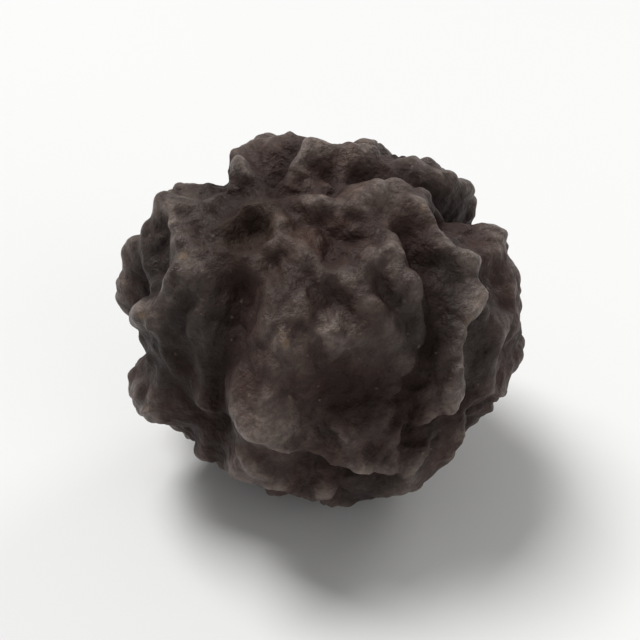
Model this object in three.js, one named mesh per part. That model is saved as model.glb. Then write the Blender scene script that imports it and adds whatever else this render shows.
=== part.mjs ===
// A dried black peppercorn: one small round fruit, wrinkled all over as it dried.
//
// Units are millimetres and +Z is up. The fruit lies on a small flat spot at z = 0, and the
// origin is under the middle of its box. Seen from the front, azimuth 0 looks along +Y.
//
// The skin is a radius worked out for every direction from the fruit's middle:
// a nearly round core, shallow dents, furrows that run from the stem end to the tip,
// a net of raised wrinkles, a finer net of creases, the stem scar and the tip.

import * as THREE from 'three';
import { mergeVertices } from 'three/addons/utils/BufferGeometryUtils.js';

// Driving dimensions
const RADIUS = 2.34; // mean radius of the core, under the wrinkles
const WIDTH_SHARE = 1.07; // core's half width along X, over RADIUS
const DEPTH_SHARE = 1; // along Y
const HEIGHT_SHARE = 0.975; // along Z
const FLAT_SPOT_RADIUS = 0.72; // spot that the fruit lies on
const FLAT_SPOT_SWELL = 0.2; // how far the skin round that spot stands out from the core
const FLAT_FADE_FROM = 0.18; // the wrinkles fade in between these two distances from straight
const FLAT_FADE_TO = 0.5; // below the middle, in shares of the radius
const ROUND_STEPS = 23; // subdivisions of the sphere that the skin is worked out on
const SEED = 20417;

// Stem end and tip: the fruit's own axis leans to the front left
const STEM_END = new THREE.Vector3(-0.35, -0.357, 0.866).normalize();
const SCAR_RADIUS = 0.4;
const SCAR_DEPTH = 0.24;
const SCAR_RIM_HEIGHT = 0.09;
const SCAR_RIM_WIDTH = 0.17;
const SCAR_FLOOR_SHARE = 0.35; // radius of the pit's floor, over SCAR_RADIUS
const SCAR_FOLDS = [{ count: 7, height: 0.35, start: 0.8 }, { count: 4, height: 0.2, start: 0 }];
const SCAR_CALM = 0.75; // share of the wrinkles' height that is lost on the scar
const SCAR_CALM_FROM = 0.8; // it comes back between these two radii, over SCAR_RADIUS
const SCAR_CALM_TO = 2.2;
const TIP_RADIUS = 0.34;
const TIP_HEIGHT = 0.14;
const TIP_RING_RADIUS = 2.2; // shallow ring round the tip, over TIP_RADIUS
const TIP_RING_DEPTH = 0.5; // over TIP_HEIGHT

// Wrinkles: a net of ridges round hollow cells
const CELLS = 84;
const CELL_SHAKE = 0.3; // how far a cell strays from an even spread
const CELL_STRETCH = 0.7; // width of a cell over its length, halfway between stem end and tip
const STRETCH_FROM = 0.15; // cells are round at the stem end and the tip, and stretched in full
const STRETCH_TO = 0.75; // at this distance from the fruit's axis, in shares of the radius
const NEAR_CELLS = 5; // cells that take part in the height at one point
const RIDGE_HEIGHT = 0.41;
const RIDGE_WIDTH = 0.19;
const SWELL_WIDTH = 0.34;
const SWELL_SHARE = 0.14; // of the height, in the broad foot of a ridge
const LOWEST_RIDGE = 0.48; // weakest ridge over the strongest
const FLOOR_RANGE = 0.1; // how far the cells' floors differ
const CREASE_CELLS = 260; // finer net, of creases that part the skin into small folds
const CREASE_SHAKE = 0.16;
const CREASE_STRETCH = 0.8;
const CREASE_NEAR_CELLS = 4;
const CREASE_DEPTH = 0.13;
const CREASE_WIDTH = 0.13;
const CREASE_LOSS = 0.5; // share of a crease's depth that is lost on top of a ridge
const BEND = 0.1; // how far the nets are bent to and fro, in shares of the radius
const SMALL_BEND = 0.04;

// Dents left where the fruits pressed on each other
const DENTS = 9;
const DENT_DEPTH = 0.12;
const DENT_WIDTH = 1.1;
const DENT_SHAKE = 0.5;
const SHALLOWEST_DENT = 0.4; // over the deepest

// Furrows placed one by one on the front, each a path of points (right, up) in shares of the
// radius, as seen from the front at VIEW_ELEVATION degrees above the table
const VIEW_ELEVATION = 38;
const FRONT_FURROWS = [
  { path: [[-0.38, 0.52], [-0.47, 0.1], [-0.53, -0.25], [-0.64, -0.6]], depth: 0.36, width: 0.3 },
  { path: [[0.48, 0.4], [0.49, 0.05], [0.44, -0.45]], depth: 0.22, width: 0.26 },
  { path: [[0.02, -0.26], [0.26, -0.34]], depth: 0.2, width: 0.34 },
  { path: [[0.46, -0.6], [0.78, -0.5]], depth: 0.24, width: 0.26 },
  { path: [[-0.12, 0.86], [-0.16, 0.62]], depth: 0.18, width: 0.22 },
  { path: [[-0.1, -0.72], [0.25, -0.8]], depth: 0.16, width: 0.24 },
];
const FRONT_KNOBS = [
  { at: [-0.68, 0.55], height: 0.17, width: 0.3 },
  { at: [0.66, -0.27], height: 0.14, width: 0.34 },
  { at: [0.07, -0.08], height: 0.1, width: 0.22 },
  { at: [-0.22, -0.5], height: 0.14, width: 0.32 },
  { at: [0.3, 0.72], height: 0.1, width: 0.4 },
];

// Furrows round the rest of the fruit, placed by rule
const SIDE_FURROWS = 13;
const SIDE_FURROW_DEPTH = 0.26;
const SIDE_FURROW_WIDTH = 0.25;
const SIDE_TURN_FROM = 0.34; // the front takes the rest of the turn, and keeps its own furrows
const SIDE_TURN = 1.32; // half turns round the fruit's axis, as SIDE_TURN_FROM is
const FURROW_CALM = 0.62; // share of the wrinkles' height that is lost inside a furrow

const UP = new THREE.Vector3(0, 0, 1);

// Small repeatable random source, giving numbers from 0 to 1
function randomSource(seed) {
  let state = seed >>> 0;
  return () => {
    state = (state + 0x6d2b79f5) >>> 0;
    let t = state;
    t = Math.imul(t ^ (t >>> 15), t | 1);
    t ^= t + Math.imul(t ^ (t >>> 7), t | 61);
    return ((t ^ (t >>> 14)) >>> 0) / 4294967296;
  };
}

function fraction(x) {
  return x - Math.floor(x);
}

function smoothStep(low, high, x) {
  const t = Math.min(Math.max((x - low) / (high - low), 0), 1);
  return t * t * (3 - 2 * t);
}

function bell(distance, width) {
  return Math.exp(-((distance / width) ** 2));
}

// Direction of a point given as seen from the front
function fromFront([right, up]) {
  const e = THREE.MathUtils.degToRad(VIEW_ELEVATION);
  const near = Math.sqrt(Math.max(1 - right * right - up * up, 0));
  return new THREE.Vector3(
    right,
    up * Math.sin(e) - near * Math.cos(e),
    up * Math.cos(e) + near * Math.sin(e),
  ).normalize();
}

// Evenly spread directions, shaken by the random source
function spreadDirections(count, shake, random) {
  const golden = Math.PI * (3 - Math.sqrt(5));
  const directions = [];
  for (let i = 0; i < count; i += 1) {
    const z = 1 - (2 * i + 1) / count;
    const r = Math.sqrt(1 - z * z);
    const jitter = new THREE.Vector3(random() - 0.5, random() - 0.5, random() - 0.5);
    directions.push(
      new THREE.Vector3(r * Math.cos(golden * i), r * Math.sin(golden * i), z)
        .addScaledVector(jitter, shake)
        .normalize(),
    );
  }
  return directions;
}

// Bends a direction a little, so that no wrinkle is straight
function bent(d) {
  return new THREE.Vector3(
    d.x + BEND * Math.sin(3.7 * d.y + 1.1) + SMALL_BEND * Math.sin(8.3 * d.z + 0.4),
    d.y + BEND * Math.sin(4.1 * d.z + 2.3) + SMALL_BEND * Math.sin(7.9 * d.x + 1.9),
    d.z + BEND * Math.sin(3.9 * d.x + 0.7) + SMALL_BEND * Math.sin(8.7 * d.y + 2.6),
  ).normalize();
}

// Net of ridges between the cells round the given directions. Each cell has its own share,
// which sets its floor and the strength of the ridges that it meets its neighbours in.
class WrinkleNet {
  constructor(centres, shares, stretch) {
    this.centres = centres;
    this.shares = shares;
    this.stretch = stretch;
    this.spacing = Math.sqrt((4 * Math.PI) / centres.length);
  }

  // The nearest cells, with how much further each is than the nearest one
  nearest(q, count) {
    const along = STEM_END.clone().addScaledVector(q, -q.dot(STEM_END));
    const off = along.length();
    along.normalize();
    const squeeze = 1 - this.stretch * this.stretch;
    const amount = squeeze * smoothStep(STRETCH_FROM, STRETCH_TO, off);
    const cells = this.centres.map((centre, i) => {
      const gap = q.clone().sub(centre);
      const slide = gap.dot(along);
      return { i, d: gap.lengthSq() - amount * slide * slide };
    });
    cells.sort((a, b) => a.d - b.d);
    const least = cells[0].d;
    return cells.slice(0, count).map(({ i, d }) => ({ i, g: (d - least) / (2 * this.spacing) }));
  }

  // Height of the ridges, from 0 to about 1, with the given half width in shares of the radius.
  // The last line rounds off the peaks where several ridges meet.
  ridges(near, width, lowest) {
    let sum = 0;
    for (let a = 0; a < near.length; a += 1) {
      for (let b = a + 1; b < near.length; b += 1) {
        const pair = fraction(5 * (this.shares[near[a].i] + this.shares[near[b].i]));
        const strength = lowest + (1 - lowest) * pair;
        const h = strength * bell(Math.hypot(near[a].g, near[b].g), width);
        sum += h ** 4;
      }
    }
    const height = sum ** 0.25;
    return height / Math.cbrt(1 + height ** 3);
  }

  // Level of the cell floors, from -1 to 1, blended where cells meet
  floors(near, width) {
    let sum = 0;
    let weights = 0;
    for (const { i, g } of near) {
      const w = bell(g, width);
      sum += w * (2 * this.shares[i] - 1);
      weights += w;
    }
    return sum / weights;
  }
}

function makeNet(count, shake, stretch, random) {
  const centres = spreadDirections(count, shake, random);
  const shares = centres.map(() => random());
  return new WrinkleNet(centres, shares, stretch);
}

function makeDents(random) {
  const dents = spreadDirections(DENTS, DENT_SHAKE, random);
  return dents.map((centre) => (
    { centre, depth: DENT_DEPTH * (SHALLOWEST_DENT + (1 - SHALLOWEST_DENT) * random()) }
  ));
}

// Furrows that run from the stem end towards the tip, on the sides away from the front
function makeSideFurrows(random) {
  const front = fromFront([0, 0]);
  const east = new THREE.Vector3().crossVectors(STEM_END, front).normalize();
  const north = new THREE.Vector3().crossVectors(east, STEM_END).normalize();
  const furrows = [];
  for (let n = 0; n < SIDE_FURROWS; n += 1) {
    const share = (n + 0.5 + 0.5 * (random() - 0.5)) / SIDE_FURROWS;
    const turn = Math.PI * (SIDE_TURN_FROM + SIDE_TURN * share);
    const from = 0.45 + 0.9 * random();
    const length = 0.6 + 0.9 * random();
    const lean = 0.7 * (random() - 0.5);
    const path = [0, 0.5, 1].map((t) => {
      const polar = from + length * t;
      const angle = turn + lean * t + 0.12 * Math.sin(6 * t + 3 * n);
      return new THREE.Vector3()
        .addScaledVector(STEM_END, Math.cos(polar))
        .addScaledVector(north, Math.sin(polar) * Math.cos(angle))
        .addScaledVector(east, Math.sin(polar) * Math.sin(angle));
    });
    const depth = SIDE_FURROW_DEPTH * (0.6 + 0.5 * random());
    const width = SIDE_FURROW_WIDTH * (0.7 + 0.6 * random());
    furrows.push({ path, depth, width });
  }
  return furrows;
}

// Distance from a direction to a path of directions, in shares of the radius
function pathDistance(q, path) {
  let least = Infinity;
  for (let k = 1; k < path.length; k += 1) {
    const step = path[k].clone().sub(path[k - 1]);
    const t = q.clone().sub(path[k - 1]).dot(step) / step.lengthSq();
    const foot = path[k - 1].clone().addScaledVector(step, Math.min(Math.max(t, 0), 1));
    least = Math.min(least, q.distanceTo(foot.normalize()));
  }
  return least;
}

// Round scar where the stalk broke off: a pit inside a raised, folded rim
function stemScar(d) {
  const off = RADIUS * d.distanceTo(STEM_END);
  const side = new THREE.Vector3().crossVectors(STEM_END, UP).normalize();
  const across = new THREE.Vector3().crossVectors(side, STEM_END);
  const turn = Math.atan2(d.dot(side), d.dot(across));
  const folds = SCAR_FOLDS.reduce(
    (sum, { count, height, start }) => sum + height * Math.sin(count * turn + start),
    1,
  );
  const rim = SCAR_RIM_HEIGHT * folds * bell(off - SCAR_RADIUS, SCAR_RIM_WIDTH);
  const pit = SCAR_DEPTH * (1 - smoothStep(SCAR_FLOOR_SHARE * SCAR_RADIUS, SCAR_RADIUS, off));
  return rim - pit;
}

// Low point at the far end, left by the flower
function tip(d) {
  const off = RADIUS * d.distanceTo(STEM_END.clone().negate());
  const ring = TIP_RING_DEPTH * bell(off - TIP_RING_RADIUS * TIP_RADIUS, TIP_RADIUS);
  return TIP_HEIGHT * (bell(off, TIP_RADIUS) - ring);
}

// Everything that is drawn once and then read for every direction
function growSkin() {
  const random = randomSource(SEED);
  const net = makeNet(CELLS, CELL_SHAKE, CELL_STRETCH, random);
  const creaseNet = makeNet(CREASE_CELLS, CREASE_SHAKE, CREASE_STRETCH, random);
  const dents = makeDents(random);
  const frontFurrows = FRONT_FURROWS.map(({ path, depth, width }) => (
    { path: path.map(fromFront), depth, width }
  ));
  const furrows = [...frontFurrows, ...makeSideFurrows(random)];
  const knobs = FRONT_KNOBS.map(({ at, height, width }) => (
    { centre: fromFront(at), height, width }
  ));
  return { net, creaseNet, dents, furrows, knobs };
}

// Raised and hollow parts of the skin together, in millimetres from the core
function relief(d, skin) {
  const q = bent(d);
  const near = skin.net.nearest(q, NEAR_CELLS);
  const narrow = skin.net.ridges(near, RIDGE_WIDTH / RADIUS, LOWEST_RIDGE);
  const broad = skin.net.ridges(near, SWELL_WIDTH / RADIUS, LOWEST_RIDGE);
  const floor = skin.net.floors(near, SWELL_WIDTH / RADIUS);
  let height = RIDGE_HEIGHT * ((1 - SWELL_SHARE) * narrow + SWELL_SHARE * broad);
  height += FLOOR_RANGE * floor * (1 - narrow);

  const creaseNear = skin.creaseNet.nearest(q, CREASE_NEAR_CELLS);
  const crease = skin.creaseNet.ridges(creaseNear, CREASE_WIDTH / RADIUS, LOWEST_RIDGE);
  height -= CREASE_DEPTH * crease * (1 - CREASE_LOSS * narrow);

  let cut = 0;
  for (const { path, depth, width } of skin.furrows) {
    const inside = bell(RADIUS * pathDistance(q, path), width);
    height *= 1 - FURROW_CALM * inside;
    cut += depth * inside;
  }
  height -= cut;
  for (const { centre, height: rise, width } of skin.knobs) {
    height += rise * bell(RADIUS * d.distanceTo(centre), width);
  }
  return height;
}

// Radius of the fruit in a direction, from its middle
function radiusAt(d, skin) {
  const core = RADIUS / Math.hypot(d.x / WIDTH_SHARE, d.y / DEPTH_SHARE, d.z / HEIGHT_SHARE);
  let radius = core;
  for (const { centre, depth } of skin.dents) {
    radius -= depth * bell(RADIUS * d.distanceTo(centre), DENT_WIDTH);
  }
  const fromScar = (RADIUS * d.distanceTo(STEM_END)) / SCAR_RADIUS;
  const calm = SCAR_CALM * (1 - smoothStep(SCAR_CALM_FROM, SCAR_CALM_TO, fromScar));
  radius += relief(d, skin) * (1 - calm) + stemScar(d) + tip(d);
  // The wrinkles fade out where the fruit lies on the table
  const lying = 1 - smoothStep(FLAT_FADE_FROM, FLAT_FADE_TO, d.distanceTo(UP.clone().negate()));
  return THREE.MathUtils.lerp(radius, core + FLAT_SPOT_SWELL, lying);
}

function makeSkin() {
  const sphere = new THREE.IcosahedronGeometry(1, ROUND_STEPS);
  sphere.deleteAttribute('normal');
  sphere.deleteAttribute('uv');
  const skin = growSkin();
  const geometry = mergeVertices(sphere, 1e-5);
  const position = geometry.attributes.position;
  for (let i = 0; i < position.count; i += 1) {
    const d = new THREE.Vector3().fromBufferAttribute(position, i).normalize();
    const point = d.clone().multiplyScalar(radiusAt(d, skin));
    position.setXYZ(i, point.x, point.y, point.z);
  }
  return geometry;
}

// Puts the box's middle over the origin and presses the underside flat at z = 0
function layDown(geometry) {
  geometry.computeBoundingBox();
  const { min, max } = geometry.boundingBox;
  const bottomRadius = RADIUS * HEIGHT_SHARE + FLAT_SPOT_SWELL;
  const sink = bottomRadius - Math.sqrt(bottomRadius ** 2 - FLAT_SPOT_RADIUS ** 2);
  geometry.translate(-(min.x + max.x) / 2, -(min.y + max.y) / 2, -min.z - sink);
  const position = geometry.attributes.position;
  for (let i = 0; i < position.count; i += 1) {
    position.setZ(i, Math.max(position.getZ(i), 0));
  }
  geometry.computeVertexNormals();
  return geometry;
}

const skinMaterial = new THREE.MeshStandardMaterial({
  name: 'dried_skin',
  color: 0x352d29,
  roughness: 0.55,
  metalness: 0,
});

const peppercorn = new THREE.Mesh(layDown(makeSkin()), skinMaterial);
peppercorn.name = 'peppercorn';

const fruit = new THREE.Group();
fruit.name = 'black_peppercorn';
fruit.add(peppercorn);

export default fruit;
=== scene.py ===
"""A dried black peppercorn: its wrinkled skin, the finish on it and the studio it is seen in.

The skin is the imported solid's own form, worked out again by the same rule on a much finer
sphere. Geometry Nodes then add the creases, puckers, warts and grain that are too fine for it.
Sizes of the fruit are in millimetres, and every mesh is made in metres.
"""

from __future__ import annotations

import logging
import math
from dataclasses import dataclass, field
from enum import Enum

import bpy
import numpy as np
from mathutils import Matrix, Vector


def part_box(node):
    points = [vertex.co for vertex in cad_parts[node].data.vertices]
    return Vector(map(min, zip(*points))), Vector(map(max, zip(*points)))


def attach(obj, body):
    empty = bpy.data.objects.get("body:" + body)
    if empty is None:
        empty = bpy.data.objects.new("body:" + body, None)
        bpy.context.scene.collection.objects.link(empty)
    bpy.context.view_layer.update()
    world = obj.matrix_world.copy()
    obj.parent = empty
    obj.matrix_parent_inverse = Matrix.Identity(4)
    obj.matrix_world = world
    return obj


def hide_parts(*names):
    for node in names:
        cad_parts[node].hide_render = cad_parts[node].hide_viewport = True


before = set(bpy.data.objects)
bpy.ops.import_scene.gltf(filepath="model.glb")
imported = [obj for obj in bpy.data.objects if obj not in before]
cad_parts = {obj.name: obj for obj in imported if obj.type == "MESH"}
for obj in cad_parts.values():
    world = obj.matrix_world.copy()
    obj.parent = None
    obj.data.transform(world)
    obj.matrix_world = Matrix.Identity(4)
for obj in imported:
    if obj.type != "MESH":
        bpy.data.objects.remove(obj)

LOG = logging.getLogger("peppercorn")
NODE = "peppercorn"
BODY = "root"
MM = 0.001  # metres in a millimetre
FINE_WAVES = 0.55  # how strongly a soft pattern's finer waves show
USUAL_RANGE = (0.35, 0.65)  # what most of its values lie between
Socket = bpy.types.NodeSocket


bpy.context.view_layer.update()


def unit(v: np.ndarray) -> np.ndarray:
    """Vectors of length one, in the same directions."""
    return v / np.linalg.norm(v, axis=-1, keepdims=True)


def bell(distance: np.ndarray, width: float) -> np.ndarray:
    """Round bump of height one and the given half width."""
    return np.exp(-((distance / width) ** 2))


def smooth_step(low: float, high: float, x: np.ndarray) -> np.ndarray:
    """Rises from 0 at low to 1 at high, level at both ends."""
    t = np.clip((x - low) / (high - low), 0, 1)
    return t * t * (3 - 2 * t)


def paint(red: int, green: int, blue: int) -> tuple[float, float, float, float]:
    """Linear colour of a tone given as it is seen on a screen, from 0 to 255.

    Args:
        red: Red part of the tone.
        green: Green part.
        blue: Blue part.

    Returns:
        Linear red, green and blue, and an alpha of 1.
    """
    tones = [tone / 255 for tone in (red, green, blue)]
    linear = [t / 12.92 if t <= 0.04045 else ((t + 0.055) / 1.055) ** 2.4 for t in tones]
    return (*linear, 1.0)


@dataclass
class RandomSource:
    """Small repeatable source of numbers from 0 to 1."""

    state: int

    def draw(self) -> float:
        """The next number.

        Returns:
            A number from 0 up to 1.
        """
        word = 0xFFFFFFFF
        self.state = (self.state + 0x6D2B79F5) & word
        t = self.state
        t = ((t ^ (t >> 15)) * (t | 1)) & word
        t ^= (t + (((t ^ (t >> 7)) * (t | 61)) & word)) & word
        return ((t ^ (t >> 14)) & word) / (word + 1)

    def directions(self, count: int, shake: float) -> np.ndarray:
        """Evenly spread directions, shaken by random steps.

        Args:
            count: How many directions.
            shake: Largest step, in shares of the radius.

        Returns:
            The directions, one in each row.
        """
        golden = math.pi * (3 - math.sqrt(5))
        spread = []
        for i in range(count):
            z = 1 - (2 * i + 1) / count
            r = math.sqrt(1 - z * z)
            even = np.array([r * math.cos(golden * i), r * math.sin(golden * i), z])
            jitter = np.array([self.draw() - 0.5, self.draw() - 0.5, self.draw() - 0.5])
            spread.append(even + shake * jitter)
        return unit(np.array(spread))


@dataclass(frozen=True)
class FrontView:
    """The side that the furrows and knobs are placed on, as the camera sees it."""

    elevation: float = 38  # degrees above the table

    def direction(self, right: float, up: float) -> np.ndarray:
        """Direction from the fruit's middle to a point of the front.

        Args:
            right: Shares of the radius to the right of the middle.
            up: Shares of the radius above it.

        Returns:
            The direction, of length one.
        """
        e = math.radians(self.elevation)
        near = math.sqrt(max(1 - right * right - up * up, 0))
        back = up * math.sin(e) - near * math.cos(e)
        return unit(np.array([right, back, up * math.cos(e) + near * math.sin(e)]))


@dataclass(frozen=True)
class Furrow:
    """A groove along a path of points on the fruit's front."""

    path: tuple[tuple[float, float], ...]
    depth: float
    width: float


@dataclass(frozen=True)
class Knob:
    """A round swell on the fruit's front."""

    at: tuple[float, float]
    height: float
    width: float


FRONT_FURROWS = (
    Furrow(((-0.38, 0.52), (-0.47, 0.1), (-0.53, -0.25), (-0.64, -0.6)), 0.36, 0.3),
    Furrow(((0.48, 0.4), (0.49, 0.05), (0.44, -0.45)), 0.22, 0.26),
    Furrow(((0.02, -0.26), (0.26, -0.34)), 0.2, 0.34),
    Furrow(((0.46, -0.6), (0.78, -0.5)), 0.24, 0.26),
    Furrow(((-0.12, 0.86), (-0.16, 0.62)), 0.18, 0.22),
    Furrow(((-0.1, -0.72), (0.25, -0.8)), 0.16, 0.24),
)
FRONT_KNOBS = (
    Knob((-0.68, 0.55), 0.17, 0.3),
    Knob((0.66, -0.27), 0.14, 0.34),
    Knob((0.07, -0.08), 0.1, 0.22),
    Knob((-0.22, -0.5), 0.14, 0.32),
    Knob((0.3, 0.72), 0.1, 0.4),
)


@dataclass(frozen=True)
class NearCells:
    """The cells nearest to each direction, and how much further each is than the nearest."""

    index: np.ndarray
    gap: np.ndarray


@dataclass
class WrinkleNet:
    """Net of raised wrinkles round hollow cells, longer from the stem end to the tip than across."""

    centres: np.ndarray
    shares: np.ndarray
    stretch: float
    stem_end: np.ndarray
    stretch_from: float = 0.15  # distance from the stem end at which the stretch begins
    stretch_to: float = 0.75  # where it is whole, both in shares of the radius

    def nearest(self, q: np.ndarray, count: int) -> NearCells:
        """The cells nearest to each direction.

        Args:
            q: Directions, one in each row.
            count: How many cells to keep for each.

        Returns:
            The cells, nearest first.
        """
        along = self.stem_end - q * (q @ self.stem_end)[:, None]
        off = np.linalg.norm(along, axis=1)
        along /= np.maximum(off, 1e-9)[:, None]
        amount = (1 - self.stretch**2) * smooth_step(self.stretch_from, self.stretch_to, off)
        slide = (q * along).sum(1)[:, None] - along @ self.centres.T
        distance = 2 - 2 * q @ self.centres.T - amount[:, None] * slide**2
        index = np.argpartition(distance, count, axis=1)[:, :count]
        kept = np.take_along_axis(distance, index, 1)
        order = np.argsort(kept, axis=1)
        kept = np.take_along_axis(kept, order, 1)
        spacing = math.sqrt(4 * math.pi / len(self.centres))
        return NearCells(np.take_along_axis(index, order, 1), (kept - kept[:, :1]) / (2 * spacing))

    def ridges(self, near: NearCells, width: float, lowest: float) -> np.ndarray:
        """Height of the ridges, from 0 to about 1.

        Args:
            near: The nearest cells.
            width: Half width of a ridge, in shares of the radius.
            lowest: The weakest ridge over the strongest.

        Returns:
            One height for each direction, with the peaks where ridges meet rounded off.
        """
        shares = self.shares[near.index]
        total = np.zeros(len(shares))
        count = shares.shape[1]
        for a in range(count):
            for b in range(a + 1, count):
                strength = lowest + (1 - lowest) * ((5 * (shares[:, a] + shares[:, b])) % 1)
                total += (strength * bell(np.hypot(near.gap[:, a], near.gap[:, b]), width)) ** 4
        height = total**0.25
        return height / np.cbrt(1 + height**3)

    def floors(self, near: NearCells, width: float) -> np.ndarray:
        """Level of the cell floors, from -1 to 1, blended over the given width."""
        weights = bell(near.gap, width)
        return (weights * (2 * self.shares[near.index] - 1)).sum(1) / weights.sum(1)


@dataclass(frozen=True)
class Groove:
    """A furrow laid on the fruit, along a path of directions."""

    path: list[np.ndarray]
    depth: float
    width: float

    def distance(self, q: np.ndarray) -> np.ndarray:
        """Distance from directions to the path, in shares of the radius.

        Args:
            q: Directions of length one, one in each row.

        Returns:
            One distance for each direction.
        """
        least = np.full(len(q), np.inf)
        for start, end in zip(self.path, self.path[1:]):
            step = end - start
            t = np.clip(((q - start) @ step) / (step @ step), 0, 1)
            foot = unit(start + t[:, None] * step)
            least = np.minimum(least, np.linalg.norm(q - foot, axis=1))
        return least

    def inside(self, q: np.ndarray, radius: float) -> np.ndarray:
        """How far inside the furrow each direction is: 1 along its middle, 0 outside."""
        return bell(radius * self.distance(q), self.width)


@dataclass(frozen=True)
class Bend:
    """Two waves that bend one axis of a direction: rate and start of the long and the short one."""

    rate: float
    start: float
    short_rate: float
    short_start: float


BENDS = (Bend(3.7, 1.1, 8.3, 0.4), Bend(4.1, 2.3, 7.9, 1.9), Bend(3.9, 0.7, 8.7, 2.6))
SCAR_FOLDS = ((0.35, 7, 0.8), (0.2, 4, 0.0))  # height, number round the rim and turn of each


@dataclass
class Fruit:
    """Form of the fruit: its radius in every direction from its middle, in millimetres."""

    radius: float = 2.34
    shares: tuple[float, float, float] = (1.07, 1.0, 0.975)
    flat_swell: float = 0.2
    flat_from: float = 0.18  # reach of the smooth underside, in shares of the radius
    flat_to: float = 0.5  # where the wrinkles have their full height again
    seed: int = 20417
    stem_end: np.ndarray = field(default_factory=lambda: unit(np.array([-0.35, -0.357, 0.866])))
    view: FrontView = field(default_factory=FrontView)
    scar_radius: float = 0.4
    scar_depth: float = 0.24
    scar_floor: float = 0.35  # radius of the pit's level floor, in shares of the scar's
    scar_calm: float = 0.25  # share of the wrinkles' height that is left on the scar
    calm_from: float = 0.8  # where the wrinkles begin to rise again, in shares of its radius
    calm_to: float = 2.2  # where they have their full height
    rim_height: float = 0.09
    rim_width: float = 0.17
    tip_radius: float = 0.34
    tip_height: float = 0.14
    tip_ring: float = 2.2  # radius of the shallow ring round the tip, in shares of the tip's
    tip_ring_share: float = 0.5  # the ring's depth over the tip's height
    cells: int = 84
    cell_shake: float = 0.3
    cell_stretch: float = 0.7
    ridge_height: float = 0.41
    ridge_width: float = 0.19
    swell_width: float = 0.34
    swell_share: float = 0.14
    lowest_ridge: float = 0.48
    floor_range: float = 0.1
    fold_cells: int = 260
    fold_shake: float = 0.16
    fold_stretch: float = 0.8
    fold_depth: float = 0.13
    fold_width: float = 0.13
    fold_loss: float = 0.5
    bend: float = 0.1
    small_bend: float = 0.04
    dent_count: int = 9
    dent_shake: float = 0.5
    least_dent: float = 0.4  # depth of the shallowest dent over the deepest
    dent_depth: float = 0.12
    dent_width: float = 1.1
    side_furrows: int = 13
    side_turn_from: float = 0.34  # where they begin round the stem end, in half turns
    side_turn: float = 1.32  # how far round they are spread
    side_start: tuple[float, float] = (0.45, 0.9)  # least angle from the stem end, and its range
    side_length: tuple[float, float] = (0.6, 0.9)  # least length as an angle, and its range
    side_lean: float = 0.7
    side_sway: float = 0.12
    side_depth: float = 0.26
    side_width: float = 0.25
    furrow_calm: float = 0.62

    def __post_init__(self) -> None:
        """Draws the cells, the dents and the side furrows, in this order."""
        source = RandomSource(self.seed)
        self.net = self.make_net(source, self.cells, self.cell_shake, self.cell_stretch)
        self.fold_net = self.make_net(source, self.fold_cells, self.fold_shake, self.fold_stretch)
        least = self.least_dent
        self.dents = [
            (centre, self.dent_depth * (least + (1 - least) * source.draw()))
            for centre in source.directions(self.dent_count, self.dent_shake)
        ]
        self.grooves = [
            Groove([self.view.direction(*point) for point in furrow.path], furrow.depth, furrow.width)
            for furrow in FRONT_FURROWS
        ]
        self.grooves += self.side_grooves(source)

    def make_net(self, source: RandomSource, count: int, shake: float, stretch: float) -> WrinkleNet:
        """A net of the given number of cells, drawn from the source.

        Args:
            source: Where the cells' places and shares are drawn from.
            count: How many cells.
            shake: How far each is shaken off its even place, in shares of the radius.
            stretch: A cell's width over its length.

        Returns:
            The net.
        """
        centres = source.directions(count, shake)
        shares = np.array([source.draw() for _ in range(count)])
        return WrinkleNet(centres, shares, stretch, self.stem_end)

    def side_grooves(self, source: RandomSource) -> list[Groove]:
        """Furrows from the stem end towards the tip, on the sides away from the front.

        Args:
            source: Where their places and sizes are drawn from.

        Returns:
            The furrows, in the order that they are drawn in.
        """
        east = unit(np.cross(self.stem_end, self.view.direction(0, 0)))
        north = unit(np.cross(east, self.stem_end))
        grooves = []
        for n in range(self.side_furrows):
            share = (n + 0.5 + 0.5 * (source.draw() - 0.5)) / self.side_furrows
            turn = math.pi * (self.side_turn_from + self.side_turn * share)
            start = self.side_start[0] + self.side_start[1] * source.draw()
            length = self.side_length[0] + self.side_length[1] * source.draw()
            lean = self.side_lean * (source.draw() - 0.5)
            path = []
            for t in (0, 0.5, 1):
                polar = start + length * t
                angle = turn + lean * t + self.side_sway * math.sin(6 * t + 3 * n)
                outward = north * math.cos(angle) + east * math.sin(angle)
                path.append(self.stem_end * math.cos(polar) + outward * math.sin(polar))
            depth = self.side_depth * (0.6 + 0.5 * source.draw())
            width = self.side_width * (0.7 + 0.6 * source.draw())
            grooves.append(Groove(path, depth, width))
        return grooves

    def bent(self, d: np.ndarray) -> np.ndarray:
        """Directions bent a little, so that no wrinkle is straight.

        Args:
            d: Directions of length one, one in each row.

        Returns:
            The bent directions, in the same order.
        """
        bent = []
        for axis, wave in enumerate(BENDS):
            own, following, last = (d[:, (axis + step) % 3] for step in range(3))
            long_wave = self.bend * np.sin(wave.rate * following + wave.start)
            short_wave = self.small_bend * np.sin(wave.short_rate * last + wave.short_start)
            bent.append(own + long_wave + short_wave)
        return unit(np.stack(bent, axis=1))

    def creases(self, q: np.ndarray) -> np.ndarray:
        """Depth of the finer creases, from 0 to about 1, for directions that are bent already."""
        near = self.fold_net.nearest(q, 4)
        return self.fold_net.ridges(near, self.fold_width / self.radius, self.lowest_ridge)

    def inside_furrows(self, q: np.ndarray) -> np.ndarray:
        """How far inside a furrow each bent direction is: 1 along its middle, 0 outside."""
        return np.max([groove.inside(q, self.radius) for groove in self.grooves], axis=0)

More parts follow.
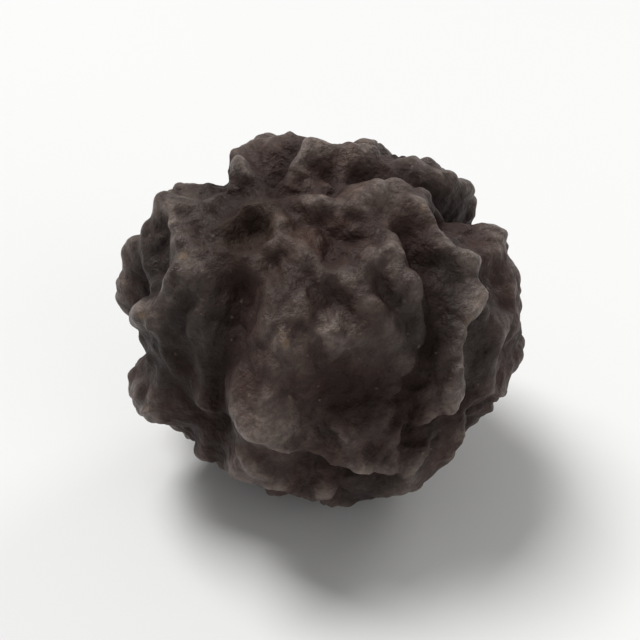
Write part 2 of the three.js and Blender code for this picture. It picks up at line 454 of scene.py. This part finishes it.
    def up_knob(self, d: np.ndarray, knob: Knob) -> np.ndarray:
        """How far up one knob each direction is: 1 on its top, 0 outside."""
        off = self.radius * np.linalg.norm(d - self.view.direction(*knob.at), axis=1)
        return bell(off, knob.width)

    def on_knobs(self, d: np.ndarray) -> np.ndarray:
        """How far up any knob each direction is: 1 on its top, 0 outside."""
        return np.max([self.up_knob(d, knob) for knob in FRONT_KNOBS], axis=0)

    def relief(self, d: np.ndarray) -> np.ndarray:
        """Raised and hollow parts of the skin together, in millimetres from the core.

        Args:
            d: Directions of length one, one in each row.

        Returns:
            One height for each direction.
        """
        q = self.bent(d)
        near = self.net.nearest(q, 5)
        narrow = self.net.ridges(near, self.ridge_width / self.radius, self.lowest_ridge)
        broad = self.net.ridges(near, self.swell_width / self.radius, self.lowest_ridge)
        height = self.ridge_height * ((1 - self.swell_share) * narrow + self.swell_share * broad)
        floor = self.net.floors(near, self.swell_width / self.radius)
        height += self.floor_range * floor * (1 - narrow)
        height -= self.fold_depth * self.creases(q) * (1 - self.fold_loss * narrow)
        cut = np.zeros(len(d))
        for groove in self.grooves:
            inside = groove.inside(q, self.radius)
            height *= 1 - self.furrow_calm * inside
            cut += groove.depth * inside
        height -= cut
        for knob in FRONT_KNOBS:
            height += knob.height * self.up_knob(d, knob)
        return height

    def stem_scar(self, d: np.ndarray) -> np.ndarray:
        """Round scar of the stalk: a pit inside a raised, folded rim.

        Args:
            d: Directions of length one, one in each row.

        Returns:
            Millimetres over the skin round it, one for each direction.
        """
        off = self.radius * np.linalg.norm(d - self.stem_end, axis=1)
        side = unit(np.cross(self.stem_end, [0.0, 0.0, 1.0]))
        across = np.cross(side, self.stem_end)
        turn = np.arctan2(d @ side, d @ across)
        folds = np.ones(len(d))
        for height, count, start in SCAR_FOLDS:
            folds += height * np.sin(count * turn + start)
        rim = self.rim_height * folds * bell(off - self.scar_radius, self.rim_width)
        floor = self.scar_floor * self.scar_radius
        pit = self.scar_depth * (1 - smooth_step(floor, self.scar_radius, off))
        return rim - pit

    def tip(self, d: np.ndarray) -> np.ndarray:
        """Low point at the far end, left by the flower.

        Args:
            d: Directions of length one, one in each row.

        Returns:
            Millimetres over the skin round it, one for each direction.
        """
        off = self.radius * np.linalg.norm(d + self.stem_end, axis=1)
        ring = bell(off - self.tip_ring * self.tip_radius, self.tip_radius)
        return self.tip_height * (bell(off, self.tip_radius) - self.tip_ring_share * ring)

    def points(self, d: np.ndarray) -> np.ndarray:
        """Points of the skin, from the fruit's middle.

        Args:
            d: Directions of length one, one in each row.

        Returns:
            The points in millimetres, one in each row.
        """
        core = self.radius / np.linalg.norm(d / np.array(self.shares), axis=1)
        r = core.copy()
        for centre, depth in self.dents:
            r -= depth * bell(self.radius * np.linalg.norm(d - centre, axis=1), self.dent_width)
        off = self.radius * np.linalg.norm(d - self.stem_end, axis=1)
        clear = smooth_step(self.calm_from * self.scar_radius, self.calm_to * self.scar_radius, off)
        kept = self.scar_calm + (1 - self.scar_calm) * clear
        r += self.relief(d) * kept + self.stem_scar(d) + self.tip(d)
        below = np.linalg.norm(d + np.array([0.0, 0.0, 1.0]), axis=1)
        lying = 1 - smooth_step(self.flat_from, self.flat_to, below)
        r += (core + self.flat_swell - r) * lying
        return d * r[:, None]


@dataclass(frozen=True)
class RoundNet:
    """Sphere of nearly even triangles: each face of an icosahedron cut into steps by steps."""

    directions: np.ndarray
    faces: np.ndarray

    @classmethod
    def of_steps(cls, steps: int) -> RoundNet:
        """The sphere with the given number of steps along each edge of the icosahedron.

        Args:
            steps: How many steps.

        Returns:
            The sphere, with each point once.
        """
        t = (1 + math.sqrt(5)) / 2
        ring = [(-1, t, 0), (1, t, 0), (-1, -t, 0), (1, -t, 0)]
        tops = ring + [(z, x, y) for x, y, z in ring] + [(y, z, x) for x, y, z in ring]
        tops = np.array(tops, float)
        shortest = 4.0 + 1e-6  # square of an edge's length
        ends = [
            (a, b, c)
            for a in range(12)
            for b in range(a + 1, 12)
            for c in range(b + 1, 12)
            if max(((tops[i] - tops[j]) ** 2).sum() for i, j in ((a, b), (b, c), (a, c))) < shortest
        ]
        i, j = np.array([(i, j) for i in range(steps + 1) for j in range(steps + 1 - i)]).T
        row = np.full((steps + 2, steps + 2), -1)
        row[i, j] = np.arange(len(i))
        up = [(row[p, q], row[p + 1, q], row[p, q + 1]) for p, q in zip(i, j) if p + q < steps]
        down = [
            (row[p + 1, q], row[p + 1, q + 1], row[p, q + 1])
            for p, q in zip(i, j)
            if p + q < steps - 1
        ]
        patch = np.array(up + down)
        points, faces = [], []
        for number, (a, b, c) in enumerate(ends):
            if np.dot(np.cross(tops[b] - tops[a], tops[c] - tops[a]), tops[a]) < 0:
                b, c = c, b
            shares = np.stack([steps - i - j, i, j], axis=1) / steps
            points.append(shares @ tops[[a, b, c]])
            faces.append(patch + number * len(i))
        points = np.concatenate(points)
        whole = np.round(points * 1e6).astype(np.int64)
        _, first, joined = np.unique(whole, axis=0, return_index=True, return_inverse=True)
        return cls(unit(points[first]), joined.ravel()[np.concatenate(faces)])

    def averaged(self, values: np.ndarray, rounds: int) -> np.ndarray:
        """Values averaged with their neighbours' again and again.

        Args:
            values: One value for each point.
            rounds: How many times.

        Returns:
            The averaged values.
        """
        edges = np.concatenate([self.faces[:, [0, 1]], self.faces[:, [1, 2]], self.faces[:, [2, 0]]])
        count = np.bincount(edges[:, 0], minlength=len(values))
        for _ in range(rounds):
            around = np.bincount(edges[:, 0], values[edges[:, 1]], minlength=len(values))
            values = 0.5 * values + 0.5 * around / count
        return values


@dataclass(frozen=True)
class Pattern:
    """A soft random pattern, read as 0 below its low level and 1 above its high one."""

    scale: float  # patches in a millimetre
    detail: float
    turn: float  # which of the endless patterns it is
    low: float
    high: float


class NodeBench:
    """Adds nodes to a tree and joins them."""

    def __init__(self, tree: bpy.types.NodeTree) -> None:
        """Starts on the given tree."""
        self.tree = tree

    def feed(self, socket: Socket, value: object) -> None:
        """Joins another socket to this one, or sets its value.

        Args:
            socket: The input that gets something.
            value: Another node's output, a plain value, or None to leave it as it is.
        """
        if isinstance(value, Socket):
            self.tree.links.new(value, socket)
        elif value is not None:
            socket.default_value = value

    def put(
        self, kind: str, named: dict[str | int, object] | None = None, **settings: object
    ) -> bpy.types.Node:
        """Adds a node.

        Args:
            kind: Blender's name for the type of node.
            named: What each input gets, by the input's name or number.
            **settings: The node's own options.

        Returns:
            The node.
        """
        node = self.tree.nodes.new(kind)
        for option, value in settings.items():
            setattr(node, option, value)
        for name, value in (named or {}).items():
            self.feed(node.inputs[name], value)
        return node

    def math(self, operation: str, *values: object) -> Socket:
        """Result of one step of arithmetic on numbers."""
        return self.put("ShaderNodeMath", dict(enumerate(values)), operation=operation).outputs[0]

    def scaled(self, vector: Socket, scale: object) -> Socket:
        """A vector made longer or shorter by a number."""
        named = {0: vector, "Scale": scale}
        return self.put("ShaderNodeVectorMath", named, operation="SCALE").outputs[0]

    def ramp(
        self, value: Socket, low: object, high: object, start: float = 0.0, end: float = 1.0
    ) -> Socket:
        """A value brought from one range to another, level outside it.

        Args:
            value: The value.
            low: Where its range begins.
            high: Where its range ends.
            start: What it becomes at the low end.
            end: What it becomes at the high end.

        Returns:
            The value in its new range.
        """
        named = {"Value": value, "From Min": low, "From Max": high, "To Min": start, "To Max": end}
        node = self.put("ShaderNodeMapRange", named, interpolation_type="SMOOTHSTEP")
        return node.outputs["Result"]

    def blend(self, share: Socket | float, first: object, second: object) -> Socket:
        """Two colours mixed by a share."""
        named = {0: share, 6: first, 7: second}
        return self.put("ShaderNodeMix", named, data_type="RGBA").outputs[2]

    def noise(self, place: Socket, scale: object, detail: float = 2.0, turn: object = 0.0) -> Socket:
        """Soft random pattern, from 0 to 1."""
        named = {"Vector": place, "W": turn, "Scale": scale, "Detail": detail, "Roughness": FINE_WAVES}
        return self.put("ShaderNodeTexNoise", named, noise_dimensions="4D").outputs[0]

    def pattern(self, place: Socket, kind: Pattern, start: float = 0.0, end: float = 1.0) -> Socket:
        """A named pattern, from the start value at its low level to the end value at its high one."""
        soft = self.noise(place, kind.scale, kind.detail, kind.turn)
        return self.ramp(soft, kind.low, kind.high, start, end)


@dataclass
class FineRelief:
    """Creases, puckers, warts and grain too fine for the fruit's own form, in millimetres."""

    crease_spacing: float = 0.5
    crease_depth: float = 0.06
    crease_width: float = 0.26  # in shares of the spacing
    crease_bend: float = 0.25  # how far the creases wind to and fro
    crease_patches: float = 0.9  # patches of deep and shallow creases, in a millimetre
    least_crease: float = 0.25  # depth of the shallowest over the deepest
    pucker_size: float = 0.22
    pucker_height: float = 0.03
    pucker_reach: float = 0.8  # how far from its middle a pucker ends, in shares of its size
    pucker_join: float = 0.35  # how softly one runs into the next
    grain_size: float = 0.1
    grain_height: float = 0.01
    wart_spacing: float = 0.42
    wart_radius: float = 0.1
    wart_height: float = 0.026
    flat_level: float = 0.12  # height over which the relief fades in above the flat spot
    seed: int = 7

    def numbers(self) -> dict[str, float]:
        """Named sizes of the tree, in millimetres.

        Returns:
            Each size by its name in the tree.
        """
        return {
            "Crease Spacing": self.crease_spacing,
            "Crease Depth": self.crease_depth,
            "Crease Width": self.crease_width,
            "Crease Bend": self.crease_bend,
            "Pucker Size": self.pucker_size,
            "Pucker Height": self.pucker_height,
            "Grain Size": self.grain_size,
            "Grain Height": self.grain_height,
            "Wart Spacing": self.wart_spacing,
            "Wart Radius": self.wart_radius,
            "Wart Height": self.wart_height,
            "Flat Level": self.flat_level,
        }

    def tree(self) -> bpy.types.GeometryNodeTree:
        """The node tree, with a named input for each size.

        Returns:
            The tree, which takes the skin and gives it back raised and dressed.
        """
        tree = bpy.data.node_groups.new("fine_relief", "GeometryNodeTree")
        sockets = tree.interface
        sockets.new_socket("Skin", in_out="INPUT", socket_type="NodeSocketGeometry")
        sockets.new_socket("Skin", in_out="OUTPUT", socket_type="NodeSocketGeometry")
        for name in self.numbers():
            sockets.new_socket(name, in_out="INPUT", socket_type="NodeSocketFloat")
        sockets.new_socket("Seed", in_out="INPUT", socket_type="NodeSocketInt")
        sockets.new_socket("Finish", in_out="INPUT", socket_type="NodeSocketMaterial")
        bench = NodeBench(tree)
        given = bench.put("NodeGroupInput").outputs
        place = bench.scaled(bench.put("GeometryNodeInputPosition").outputs[0], 1 / MM)
        fold = self.folds(bench, given, place)
        height = bench.math("MULTIPLY", fold, bench.math("MULTIPLY", given["Crease Depth"], -1.0))
        raises = (
            self.puckers(bench, given, place),
            self.grain(bench, given, place),
            self.warts(bench, given),
        )
        for more in raises:
            height = bench.math("ADD", height, more)
        height = bench.math("MULTIPLY", height, self.above_flat(bench, given, place))
        normal = bench.put("GeometryNodeInputNormal").outputs[0]
        offset = bench.scaled(normal, bench.math("MULTIPLY", height, MM))
        # The crease depth is kept as "fold"; the colour uses it for painted shade in the creases.
        mark = {"Geometry": given["Skin"], "Name": "fold", "Value": fold}
        marked = bench.put("GeometryNodeStoreNamedAttribute", mark, data_type="FLOAT", domain="POINT")
        moved = {"Geometry": marked.outputs[0], "Offset": offset}
        raised = bench.put("GeometryNodeSetPosition", moved)
        whole = bench.put("GeometryNodeRealizeInstances", {"Geometry": raised.outputs[0]})
        finish = {"Geometry": whole.outputs[0], "Material": given["Finish"]}
        dressed = bench.put("GeometryNodeSetMaterial", finish)
        bench.feed(bench.put("NodeGroupOutput").inputs["Skin"], dressed.outputs[0])
        return tree

    def folds(self, bench: NodeBench, given: bpy.types.NodeOutputs, place: Socket) -> Socket:
        """Winding creases between small folds, from 0 to 1, some of them deeper than others.

        Args:
            bench: Where the nodes are added.
            given: The tree's inputs.
            place: Where each point is, in millimetres.

        Returns:
            How far inside a crease each point is.
        """
        scale = bench.math("DIVIDE", 1.0, given["Crease Spacing"])
        drift = bench.put("ShaderNodeTexNoise", {"Vector": place, "Scale": scale, "Detail": 2.0})
        step = bench.scaled(drift.outputs["Color"], given["Crease Bend"])
        wound = bench.put("ShaderNodeVectorMath", {0: place, 1: step}, operation="ADD")
        named = {"Vector": wound.outputs[0], "Scale": scale}
        cells = bench.put("ShaderNodeTexVoronoi", named, feature="DISTANCE_TO_EDGE")
        fold = bench.ramp(cells.outputs["Distance"], 0.0, given["Crease Width"], 1.0, 0.0)
        patches = bench.noise(place, self.crease_patches, 2.0, given["Seed"])
        share = bench.ramp(patches, *USUAL_RANGE, self.least_crease, 1.0)
        return bench.math("MULTIPLY", fold, share)

    def puckers(self, bench: NodeBench, given: bpy.types.NodeOutputs, place: Socket) -> Socket:
        """Small rounded puckers of the dried skin.

        Args:
            bench: Where the nodes are added.
            given: The tree's inputs.
            place: Where each point is, in millimetres.

        Returns:
            Their height in millimetres.
        """
        scale = bench.math("DIVIDE", 1.0, given["Pucker Size"])
        named = {"Vector": place, "Scale": scale, "Smoothness": self.pucker_join}
        cells = bench.put("ShaderNodeTexVoronoi", named, feature="SMOOTH_F1")
        rounded = bench.ramp(cells.outputs["Distance"], 0.0, self.pucker_reach, 1.0, 0.0)
        return bench.math("MULTIPLY", rounded, given["Pucker Height"])

    @staticmethod
    def grain(bench: NodeBench, given: bpy.types.NodeOutputs, place: Socket) -> Socket:
        """Fine unevenness all over the skin.

        Args:
            bench: Where the nodes are added.
            given: The tree's inputs.
            place: Where each point is, in millimetres.

        Returns:
            Its height in millimetres.
        """
        scale = bench.math("DIVIDE", 1.0, given["Grain Size"])
        uneven = bench.noise(place, scale, 2.0, given["Seed"])
        return bench.math("MULTIPLY", uneven, given["Grain Height"])

    @staticmethod
    def warts(bench: NodeBench, given: bpy.types.NodeOutputs) -> Socket:
        """Small round warts, spread over the skin by a seeded draw.

        Args:
            bench: Where the nodes are added.
            given: The tree's inputs.

        Returns:
            Their height in millimetres.
        """
        gap = bench.math("MULTIPLY", given["Wart Spacing"], MM)
        named = {
            "Mesh": given["Skin"],
            "Distance Min": gap,
            "Density Max": bench.math("DIVIDE", 1.0, bench.math("MULTIPLY", gap, gap)),
            "Seed": given["Seed"],
        }
        spread = bench.put("GeometryNodeDistributePointsOnFaces", named, distribute_method="POISSON")
        near = bench.put("GeometryNodeProximity", {0: spread.outputs["Points"]}, target_element="POINTS")
        radius = bench.math("MULTIPLY", given["Wart Radius"], MM)
        off = bench.math("DIVIDE", near.outputs["Distance"], radius)
        return bench.math("MULTIPLY", bench.ramp(off, 0.0, 1.0, 1.0, 0.0), given["Wart Height"])

    @staticmethod
    def above_flat(bench: NodeBench, given: bpy.types.NodeOutputs, place: Socket) -> Socket:
        """Share of the relief that is kept: none on the flat spot, all of it higher up."""
        height = bench.put("ShaderNodeSeparateXYZ", {"Vector": place}).outputs["Z"]
        return bench.ramp(bench.math("DIVIDE", height, given["Flat Level"]), 0.0, 1.0)

    def apply(self, skin: bpy.types.Object, finish: bpy.types.Material) -> None:
        """Raises the relief on the skin and leaves it a plain mesh.

        Args:
            skin: The object to raise it on.
            finish: The material that the tree sets.
        """
        modifier = skin.modifiers.new("fine_relief", "NODES")
        tree = self.tree()
        values = {**self.numbers(), "Seed": self.seed, "Finish": finish}
        for socket in tree.interface.items_tree:
            if socket.name in values:
                values[socket.identifier] = values.pop(socket.name)
        modifier.node_group = tree
        for identifier, value in values.items():
            modifier[identifier] = value
        graph = bpy.context.evaluated_depsgraph_get()
        plain = bpy.data.meshes.new_from_object(
            skin.evaluated_get(graph), preserve_all_data_layers=True, depsgraph=graph
        )
        skin.modifiers.remove(modifier)
        skin.data = plain
        plain.name = skin.name


@dataclass(frozen=True)
class DriedSkin:
    """Finish of the dried skin: charcoal brown, ridges paler by wear and painted highlight, painted
    shade in hollows, low soft gloss.
    """

    cool: tuple[int, int, int] = (53, 46, 42)
    warm: tuple[int, int, int] = (77, 56, 48)
    # paler ridges and knobs: partly worn, dusty skin, partly painted highlight
    crest: tuple[int, int, int] = (138, 123, 114)
    # painted shade in the hollows, creases and furrows; also the colour of the random dark speckles
    hollow: tuple[int, int, int] = (31, 14, 10)
    bare: tuple[int, int, int] = (116, 93, 68)
    dust: tuple[int, int, int] = (112, 101, 90)
    scar: tuple[int, int, int] = (70, 55, 44)
    hollow_shade_share: float = 0.88  # how much of the painted shade the deepest hollows get
    # how much painted shade the creases get
    fold_shade_share: float = 0.5
    bare_share: float = 0.6
    scar_share: float = 0.45
    dust_share: float = 0.4
    patches: Pattern = Pattern(0.6, 3.0, 5.7, 0.36, 0.64)
    # where the ridges are paler, by wear and painted highlight
    wear_and_sheen: Pattern = Pattern(3.2, 4.0, 1.7, 0.34, 0.6)
    speckle: Pattern = Pattern(11.0, 4.0, 8.4, 0.34, 0.64)
    bare_spots: Pattern = Pattern(2.1, 4.0, 5.5, 0.64, 0.7)
    dust_groups: Pattern = Pattern(1.1, 2.0, 9.3, 0.42, 0.6)
    dust_edge: Pattern = Pattern(24.0, 2.0, 0.0, 0.3, 0.7)
    gloss_patches: Pattern = Pattern(5.0, 3.0, 6.2, 0.3, 0.7)
    least_wear_and_sheen: float = 0.25  # share of a ridge's paleness, wear and painted highlight, where it is least
    speckle_share: float = 0.5
    dust_cells: float = 8.5  # places for a speck, in a millimetre
    dust_left_out: float = 0.8  # share of them that stay empty
    dust_ragged: float = 0.12
    dust_core: float = 0.08  # a speck is whole up to here, in shares of its place
    dust_reach: float = 0.22  # and it ends here
    dull: float = 0.54  # roughness between ridges
    sleek: float = 0.36  # roughness on a ridge
    hollow_dull: float = 0.2  # roughness that a hollow adds
    patch_dull: tuple[float, float] = (-0.06, 0.08)  # least and most that a patch adds
    grain_scale: float = 10.0
    grain_detail: float = 4.0
    grain_turn: float = 4.4
    grain_depth: float = 0.065  # millimetres
    bend_of_light: float = 1.45  # index of refraction
    gloss: float = 0.3  # level of the mirror-like part

    def material(self) -> bpy.types.Material:
        """The material, read from the skin's own place and the values kept on its points.

        Returns:
            The material.
        """
        made = bpy.data.materials.new("dried_skin")
        made.use_nodes = True
        bench = NodeBench(made.node_tree)
        shader = made.node_tree.nodes["Principled BSDF"]
        coordinates = bench.put("ShaderNodeTexCoord").outputs["Object"]
        place = bench.scaled(coordinates, 1 / MM)
        bench.feed(shader.inputs["Base Color"], self.colour(bench, place))
        bench.feed(shader.inputs["Roughness"], self.roughness(bench, place))
        bench.feed(shader.inputs["Normal"], self.bump(bench, place))
        shader.inputs["IOR"].default_value = self.bend_of_light
        shader.inputs["Specular IOR Level"].default_value = self.gloss
        return made

    @staticmethod
    def value(bench: NodeBench, name: str) -> Socket:
        """One of the values kept on the skin's points."""
        return bench.put("ShaderNodeAttribute", attribute_name=name).outputs["Fac"]

    def colour(self, bench: NodeBench, place: Socket) -> Socket:
        """Colour: broad patches, ridges paler by wear and painted highlight, painted shade in the
        hollows and creases, worn spots and dust.

        Args:
            bench: Where the nodes are added.
            place: Where each point is, in millimetres.

        Returns:
            The colour.
        """
        crest = self.value(bench, "crest")
        bare = bench.math("MULTIPLY", bench.pattern(place, self.bare_spots), crest)
        patches = bench.pattern(place, self.patches)
        tone = bench.blend(patches, paint(*self.cool), paint(*self.warm))
        # Ridges and knobs are paled by wear and painted highlight; hollows, creases and furrows get
        # painted shade; then speckles, bare spots, the scar and dust.
        coats = (
            (crest, bench.pattern(place, self.wear_and_sheen, self.least_wear_and_sheen), self.crest),
            (self.value(bench, "hollow"), self.hollow_shade_share, self.hollow),
            (self.value(bench, "fold"), self.fold_shade_share, self.hollow),
            (bench.pattern(place, self.speckle), self.speckle_share, self.hollow),
            (bare, self.bare_share, self.bare),
            (self.value(bench, "scar"), self.scar_share, self.scar),
            (self.dust_spots(bench, place), self.dust_share, self.dust),
        )
        for where, share, coat in coats:
            tone = bench.blend(bench.math("MULTIPLY", where, share), tone, paint(*coat))
        return tone

    def dust_spots(self, bench: NodeBench, place: Socket) -> Socket:
        """Small pale specks of dust, ragged and in loose groups.

        Args:
            bench: Where the nodes are added.
            place: Where each point is, in millimetres.

        Returns:
            How much dust there is, from 0 to 1.
        """
        named = {"Vector": place, "Scale": self.dust_cells}
        cells = bench.put("ShaderNodeTexVoronoi", named, feature="F1")
        edge = bench.pattern(place, self.dust_edge, -self.dust_ragged, self.dust_ragged)
        off = bench.math("ADD", cells.outputs["Distance"], edge)
        spot = bench.ramp(off, self.dust_core, self.dust_reach, 1.0, 0.0)
        draw = bench.put("ShaderNodeSeparateColor", {"Color": cells.outputs["Color"]}).outputs[0]
        kept = bench.math("MULTIPLY", spot, bench.math("GREATER_THAN", draw, self.dust_left_out))
        return bench.math("MULTIPLY", kept, bench.pattern(place, self.dust_groups))

    def roughness(self, bench: NodeBench, place: Socket) -> Socket:
        """Roughness: smoother on the ridges, dull in the hollows.

        Args:
            bench: Where the nodes are added.
            place: Where each point is, in millimetres.

        Returns:
            The roughness.
        """
        ridges = bench.ramp(self.value(bench, "crest"), 0.0, 1.0, self.dull, self.sleek)
        hollows = bench.math("MULTIPLY", self.value(bench, "hollow"), self.hollow_dull)
        patchy = bench.pattern(place, self.gloss_patches, *self.patch_dull)
        return bench.math("ADD", bench.math("ADD", ridges, hollows), patchy)

    def bump(self, bench: NodeBench, place: Socket) -> Socket:
        """Grain that is too small for the mesh.

        Args:
            bench: Where the nodes are added.
            place: Where each point is, in millimetres.

        Returns:
            The normal with the grain in it.
        """
        height = bench.noise(place, self.grain_scale, self.grain_detail, self.grain_turn)
        grain = {"Strength": 1.0, "Distance": self.grain_depth * MM, "Height": height}
        return bench.put("ShaderNodeBump", grain).outputs[0]


@dataclass
class Skin:
    """The peppercorn's skin: the fruit's form on a fine mesh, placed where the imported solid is."""

    fruit: Fruit = field(default_factory=Fruit)
    relief: FineRelief = field(default_factory=FineRelief)
    finish: DriedSkin = field(default_factory=DriedSkin)
    steps: int = 96
    solid_steps: int = 24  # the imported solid's own
    level_rounds: int = 500  # how often the skin is smoothed to find its ridges and hollows
    crest_height: float = 0.2  # height over the smoothed skin at which a ridge is palest, by wear and painted highlight
    hollow_depth: float = 0.21  # depth under it at which a hollow's painted shade is darkest
    # share of painted shade that the finer creases get
    crease_shade: float = 0.45
    scar_reach: float = 0.5

    def offset(self) -> np.ndarray:
        """Step from the fruit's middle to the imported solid's place, in millimetres.

        Returns:
            The step along each axis.
        """
        points = self.fruit.points(RoundNet.of_steps(self.solid_steps).directions)
        low, high = (np.array(corner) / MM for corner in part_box(NODE))
        middle = (low + high) / 2 - (points.min(0) + points.max(0)) / 2
        return np.array([middle[0], middle[1], high[2] - points[:, 2].max()])

    def build(self) -> bpy.types.Object:
        """Makes the skin, raises its fine relief and dresses it.

        Returns:
            The finished object.
        """
        net = RoundNet.of_steps(self.steps)
        points = self.fruit.points(net.directions)
        mesh = self.mesh(net, points)
        self.keep_shades(mesh, net, points)
        skin = bpy.data.objects.new("peppercorn_skin", mesh)
        bpy.context.scene.collection.objects.link(skin)
        self.relief.apply(skin, self.finish.material())
        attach(skin, BODY)
        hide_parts(NODE)
        return skin

    def mesh(self, net: RoundNet, points: np.ndarray) -> bpy.types.Mesh:
        """The skin's mesh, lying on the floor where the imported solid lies.

        Args:
            net: The sphere that the skin is made on.
            points: The skin's points from the fruit's middle, in millimetres.

        Returns:
            The mesh, in metres.
        """
        placed = points + self.offset()
        placed[:, 2] = np.maximum(placed[:, 2], 0)
        mesh = bpy.data.meshes.new("peppercorn_skin")
        mesh.from_pydata((placed * MM).tolist(), [], net.faces.tolist())
        mesh.shade_smooth()
        return mesh

    def keep_shades(self, mesh: bpy.types.Mesh, net: RoundNet, points: np.ndarray) -> None:
        """Keeps for each point how much it is part of a ridge, a hollow and the scar: masks for paler
        ridges (wear and painted highlight), painted shade and the scar's tone.

        Args:
            mesh: The skin's mesh.
            net: The sphere that it is made on.
            points: Its points from the fruit's middle, in millimetres.
        """
        reach = np.linalg.norm(points, axis=1)
        level = reach - net.averaged(reach, self.level_rounds)
        off_scar = np.linalg.norm(net.directions - self.fruit.stem_end, axis=1)
        bent = self.fruit.bent(net.directions)
        creases = self.crease_shade * self.fruit.creases(bent)
        furrows = self.fruit.inside_furrows(bent)
        # Painted shade: hollows, the finer creases and the furrows are kept as darker.
        hollow = np.maximum(smooth_step(0.0, self.hollow_depth, -level), creases)
        knobs = self.fruit.on_knobs(net.directions)
        # Paler ridges and knobs: partly worn skin, partly painted highlight.
        crest = np.maximum(smooth_step(0.0, self.crest_height, level), knobs)
        # No paleness inside the furrows, which get the painted shade in full.
        self.keep(mesh, "crest", crest * (1 - furrows))
        self.keep(mesh, "hollow", np.maximum(hollow, furrows))
        self.keep(mesh, "scar", bell(self.fruit.radius * off_scar, self.scar_reach))

    @staticmethod
    def keep(mesh: bpy.types.Mesh, name: str, values: np.ndarray) -> None:
        """Keeps one value for each point of the mesh, under a name."""
        kept = mesh.attributes.new(name, "FLOAT", "POINT")
        kept.data.foreach_set("value", values.astype(np.float32))


class LampRole(Enum):
    """What each lamp of the studio is for."""

    OVERHEAD = "overhead"
    FILL = "fill"
    EDGE = "edge"


@dataclass(frozen=True)
class Lamp:
    """A square soft lamp: where it stands, how wide it is and how strong, in metres and watts."""

    role: LampRole
    place: tuple[float, float, float]
    width: float
    power: float


@dataclass
class Studio:
    """Pale floor, soft lamps and the camera at the photograph's angle."""

    aim: Vector
    width: float
    elevation: float = 38.0
    lens: float = 85.0
    share: float = 0.64  # of the picture's width that the fruit fills
    floor_reach: float = 1.5
    floor_tones: tuple[tuple[int, int, int], ...] = ((224, 224, 223), (228, 228, 227))
    floor_patches: float = 60.0  # patches of the two tones, in a metre
    floor_dull: float = 0.7
    room_strength: float = 0.3
    lamps: tuple[Lamp, ...] = (
        Lamp(LampRole.OVERHEAD, (-0.18, 0.14, 0.48), 0.24, 2.6),
        Lamp(LampRole.FILL, (0.35, -0.4, 0.3), 0.4, 0.5),
        Lamp(LampRole.EDGE, (0.3, 0.34, 0.22), 0.18, 0.6),
    )

    def floor(self) -> None:
        """Pale floor, with a very slight unevenness in its tone."""
        reach = self.floor_reach
        mesh = bpy.data.meshes.new("floor")
        square = [(-reach, -reach, 0), (reach, -reach, 0), (reach, reach, 0), (-reach, reach, 0)]
        mesh.from_pydata(square, [], [(0, 1, 2, 3)])
        made = bpy.data.materials.new("pale_floor")
        made.use_nodes = True
        bench = NodeBench(made.node_tree)
        shader = made.node_tree.nodes["Principled BSDF"]
        place = bench.put("ShaderNodeTexCoord").outputs["Object"]
        dark, pale = (paint(*tone) for tone in self.floor_tones)
        tone = bench.blend(bench.noise(place, self.floor_patches), dark, pale)
        bench.feed(shader.inputs["Base Color"], tone)
        shader.inputs["Roughness"].default_value = self.floor_dull
        mesh.materials.append(made)
        floor = bpy.data.objects.new("floor", mesh)
        bpy.context.scene.collection.objects.link(floor)

    def light(self) -> None:
        """The soft lamps and the pale room."""
        for lamp in self.lamps:
            data = bpy.data.lights.new(lamp.role.value, "AREA")
            data.size = lamp.width
            data.energy = lamp.power
            light = bpy.data.objects.new(lamp.role.value, data)
            light.location = lamp.place
            light.rotation_euler = (self.aim - light.location).to_track_quat("-Z", "Y").to_euler()
            bpy.context.scene.collection.objects.link(light)
        world = bpy.data.worlds.new("room")
        world.use_nodes = True
        background = world.node_tree.nodes["Background"]
        background.inputs["Color"].default_value = (1, 1, 1, 1)
        background.inputs["Strength"].default_value = self.room_strength
        bpy.context.scene.world = world

    def camera(self) -> None:
        """Camera in front, looking down on the fruit."""
        data = bpy.data.cameras.new("camera")
        data.lens = self.lens
        distance = self.width / self.share * self.lens / data.sensor_width
        data.clip_start = distance * 0.05
        data.clip_end = self.floor_reach * 4
        e = math.radians(self.elevation)
        back = Vector((0, -math.cos(e), math.sin(e)))
        camera = bpy.data.objects.new("camera", data)
        camera.location = self.aim + back * distance
        camera.rotation_euler = (-back).to_track_quat("-Z", "Y").to_euler()
        bpy.context.scene.collection.objects.link(camera)
        bpy.context.scene.camera = camera

    def build(self) -> None:
        """The whole studio."""
        self.floor()
        self.light()
        self.camera()
        bpy.context.scene.view_settings.view_transform = "Standard"


def main() -> None:
    """Builds the peppercorn and its studio, and reports each piece."""
    logging.basicConfig(level=logging.INFO, format="%(message)s")
    low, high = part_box(NODE)
    skin = Skin().build()
    LOG.info("%s: %d faces on body %s", skin.name, len(skin.data.polygons), BODY)
    Studio((low + high) / 2, (high - low).x).build()


if __name__ == "__main__":
    main()
